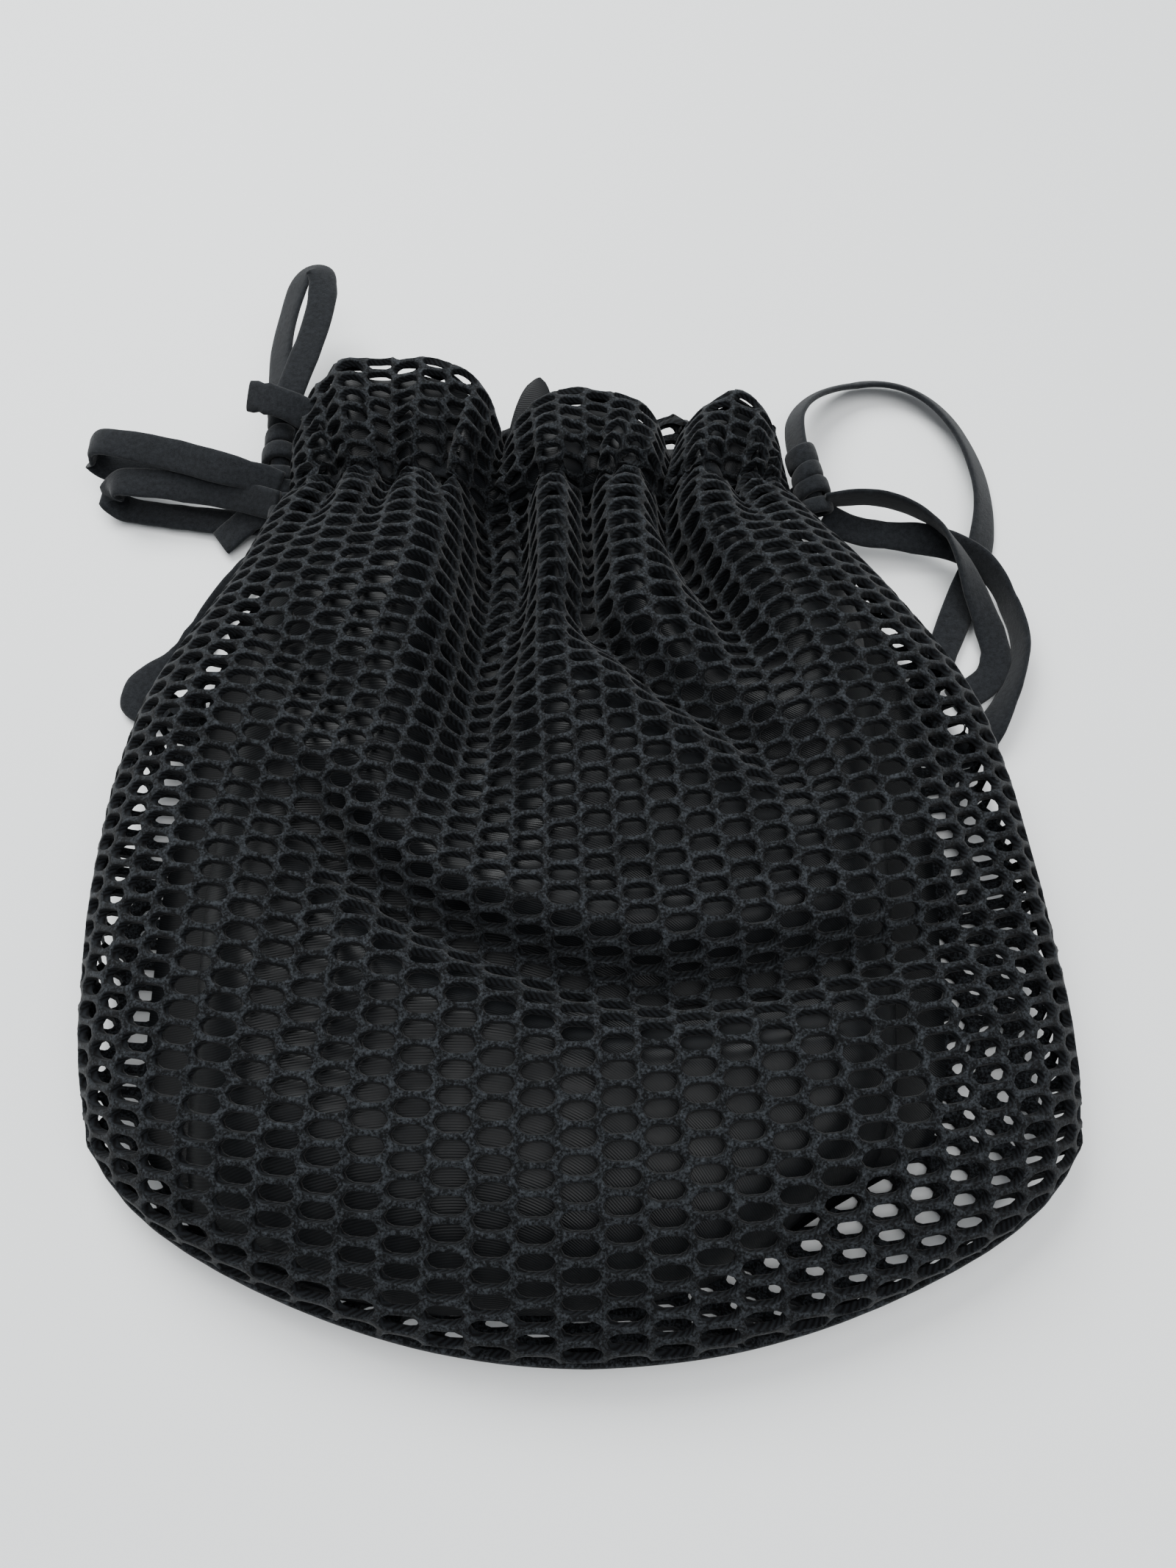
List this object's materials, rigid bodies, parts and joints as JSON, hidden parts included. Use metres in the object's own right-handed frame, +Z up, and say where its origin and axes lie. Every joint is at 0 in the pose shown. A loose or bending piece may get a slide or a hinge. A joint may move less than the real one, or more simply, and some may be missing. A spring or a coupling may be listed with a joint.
{
  "type": "mesh drawstring bag",
  "caption": "Soft drawstring bag of thick honeycomb mesh with a cloth lining, gathered neck, frilled mouth and knotted flat laces at both sides.",
  "frame": {"origin": "on the table, under the middle of the lying bag measured without its laces", "axes": "+Z up from the table out of the bag's front, +Y along the bag from its bottom edge to its mouth, +X to the right as the bag is looked at"},
  "size_m": [0.3219, 0.3615, 0.046],
  "materials": {
    "honeycomb_mesh": "thick knitted spacer mesh, matte, open honeycomb cells",
    "satin_lining": "fine twill satin, soft sheen",
    "suede_lace": "flat suede-like microfibre lace, matte and fuzzy"
  },
  "bodies": {
    "bag": {"back_panel": "honeycomb_mesh", "front_panel": "honeycomb_mesh", "edge_seam": "honeycomb_mesh", "back_casing": "honeycomb_mesh", "back_frill": "honeycomb_mesh", "back_hem": "honeycomb_mesh", "lining_back": "satin_lining", "lining_front": "satin_lining", "lining_seam": "satin_lining"},
    "mouth_front": {"mouth_front_panel": "honeycomb_mesh", "front_casing": "honeycomb_mesh", "front_frill": "honeycomb_mesh", "front_hem": "honeycomb_mesh", "lining_mouth": "satin_lining", "lining_tab": "satin_lining", "front_lace_run": "suede_lace"},
    "left_drawstring": {"left_stopper_knot": "suede_lace", "left_bow_knot": "suede_lace", "left_upright_loop": "suede_lace", "left_back_loop": "suede_lace", "left_front_loop": "suede_lace", "left_cut_tail": "suede_lace", "left_long_strand": "suede_lace", "left_lace_run": "suede_lace"},
    "right_drawstring": {"right_stopper_knot": "suede_lace", "right_long_loop": "suede_lace", "right_short_strand": "suede_lace", "right_lace_run": "suede_lace"}
  },
  "joints": [
    {"name": "mouth_open", "type": "hinge", "parent": "bag", "child": "mouth_front", "pos_m": [0, 0.01, 0.046], "axis": [1, 0, 0], "range_deg": [0, 30]},
    {"name": "left_pull", "type": "slide", "parent": "bag", "child": "left_drawstring", "axis": [-1, 0, 0], "range_m": [0, 0.035]},
    {"name": "right_pull", "type": "slide", "parent": "bag", "child": "right_drawstring", "axis": [1, 0, 0], "range_m": [0, 0.035]}
  ]
}
